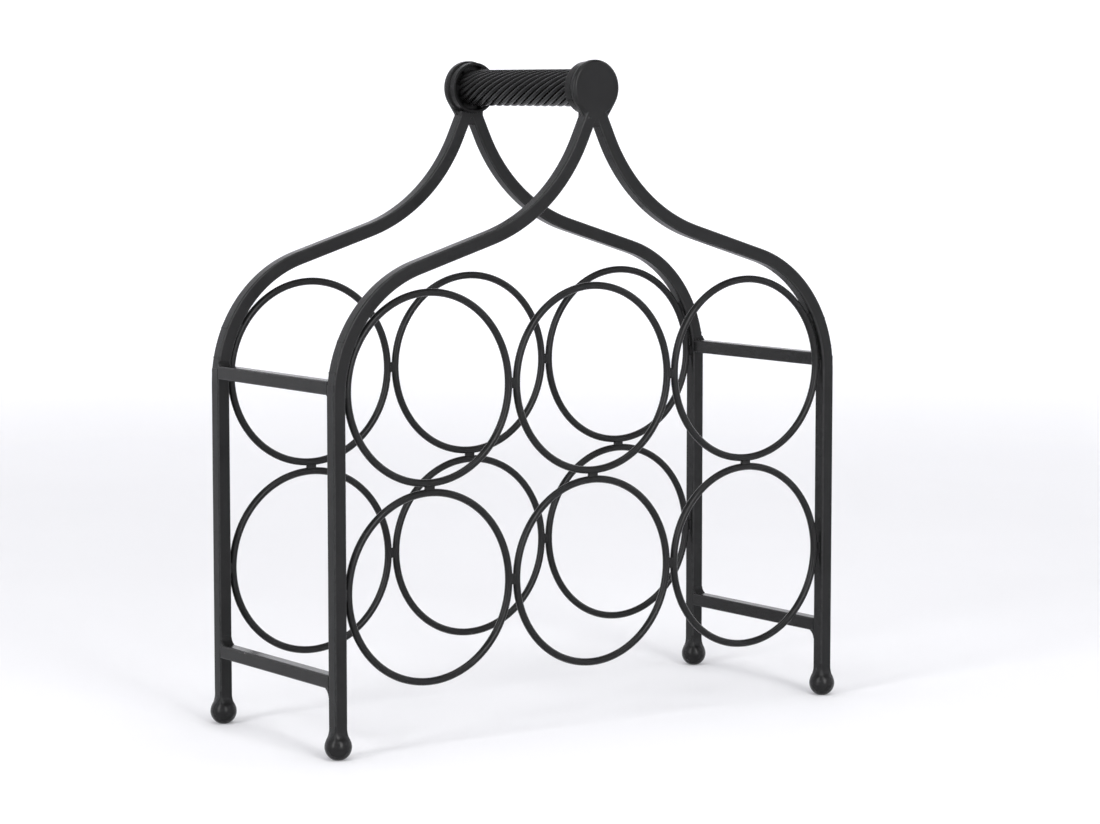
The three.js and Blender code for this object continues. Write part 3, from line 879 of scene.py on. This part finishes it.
def make_ring_welds():
    """Welds of rings to rings, to the legs and to the shoulders."""
    between_rows = (LOWER_RING_Z + UPPER_RING_Z) / 2
    gap = shoulder_gap(SHOULDER_WELD_ANGLE)
    reach = RING_OUTER + gap / 2
    shoulder_z = UPPER_RING_Z + reach * math.sin(SHOULDER_WELD_ANGLE)
    pairs = []
    legs = []
    shoulders = []
    for _, depth in FRAMES:
        y = depth * FRAME_Y
        for _, column in COLUMNS:
            pairs.append(((column * RING_PITCH, y, between_rows), (0, math.pi / 2, 0)))
        for _, hand in HANDS:
            pairs += [((hand * RING_PITCH / 2, y, z), (0, 0, 0)) for _, z in ROWS]
            leg_x = hand * (RING_PITCH + RING_OUTER + LEG_GAP / 2)
            legs += [((leg_x, y, z), (0, 0, facing(hand))) for _, z in ROWS]
            shoulder_x = hand * (RING_PITCH + reach * math.cos(SHOULDER_WELD_ANGLE))
            shoulders.append(((shoulder_x, y, shoulder_z), (0, -SHOULDER_WELD_ANGLE, facing(hand))))
    lay_beads("ring_to_ring_welds", ring_to_ring_bead(), pairs)
    lay_beads("ring_to_leg_welds", ring_to_bar_bead(LEG_GAP), legs)
    lay_beads("ring_to_shoulder_welds", ring_to_bar_bead(gap), shoulders)


def make_crossbar_welds():
    """Welds at the crossbars' ends, heavier at the lower ones."""
    for level, fillets in CROSSBAR_FILLETS.items():
        for frame_label, depth in FRAMES:
            name = f"{frame_label}_{level}_crossbar_welds"
            ends = []
            for hand_label, _ in HANDS:
                x, _, z = middle(f"{level}_{hand_label}_crossbar")
                ends.append(((x, depth * (FRAME_Y - HALF_BAR), z), (0, 0, facing(depth))))
            lay_beads(name, crossbar_bead(f"{name}_bead", fillets[frame_label], depth), ends)


def make_neck_welds():
    """Welds under the two discs."""
    necks = [((0, depth * FRAME_Y, 0), (0, 0, facing(depth))) for _, depth in FRAMES]
    lay_beads("neck_welds", neck_bead(), necks)


def make_backdrop():
    """A wide round studio floor that sweeps up into a wall, with no line between them."""
    profile = [(radius, 0) for radius in FLOOR_RADII]
    profile += arc((FLOOR_FLAT, FLOOR_SWEEP), FLOOR_SWEEP, -math.pi / 2, 0, FLOOR_SWEEP_STEPS)
    profile += [(FLOOR_FLAT + FLOOR_SWEEP, WALL_TOP)]
    angles = [math.tau * i / FLOOR_SIDES for i in range(FLOOR_SIDES)]
    rings = [[(radius * math.cos(a), radius * math.sin(a), z) for a in angles] for radius, z in profile]
    floor = skin("studio_floor", rings, backdrop_material(), ends="open")
    floor.data.shade_smooth()


def look_from(item, azimuth, elevation, distance):
    """Sets a lamp or the camera at that side, in degrees from the front, and turns it to the rack."""
    a = math.radians(azimuth)
    e = math.radians(elevation)
    back = Vector((math.sin(a) * math.cos(e), -math.cos(a) * math.cos(e), math.sin(e)))
    item.location = CAMERA_TARGET + distance * back
    item.rotation_euler = back.to_track_quat("Z", "Y").to_euler()
    bpy.context.scene.collection.objects.link(item)


def light_studio():
    """White surroundings and three softboxes, in plain tones."""
    scene = bpy.context.scene
    scene.view_settings.view_transform = "Standard"
    world = bpy.data.worlds.new("white studio")
    world.use_nodes = True
    background = world.node_tree.nodes["Background"]
    background.inputs["Color"].default_value = (1, 1, 1, 1)
    background.inputs["Strength"].default_value = SURROUND
    scene.world = world
    for name, (azimuth, elevation, distance, size, power) in SOFTBOXES.items():
        light = bpy.data.lights.new(name, "AREA")
        light.shape = "RECTANGLE"
        light.size, light.size_y = size
        light.energy = power
        lamp = bpy.data.objects.new(name, light)
        lamp.visible_camera = False
        look_from(lamp, azimuth, elevation, distance)


def aim_camera():
    """The camera at the left front."""
    data = bpy.data.cameras.new("camera")
    data.sensor_fit = "HORIZONTAL"
    data.sensor_width = SENSOR_WIDTH
    data.lens = CAMERA_LENS
    camera = bpy.data.objects.new("camera", data)
    look_from(camera, CAMERA_AZIMUTH, CAMERA_ELEVATION, CAMERA_DISTANCE)
    bpy.context.scene.camera = camera


make_bars()
make_crossbars()
make_rings()
make_feet()
make_discs()
make_cups()
make_handle()
make_ring_welds()
make_crossbar_welds()
make_neck_welds()
make_backdrop()
light_studio()
aim_camera()
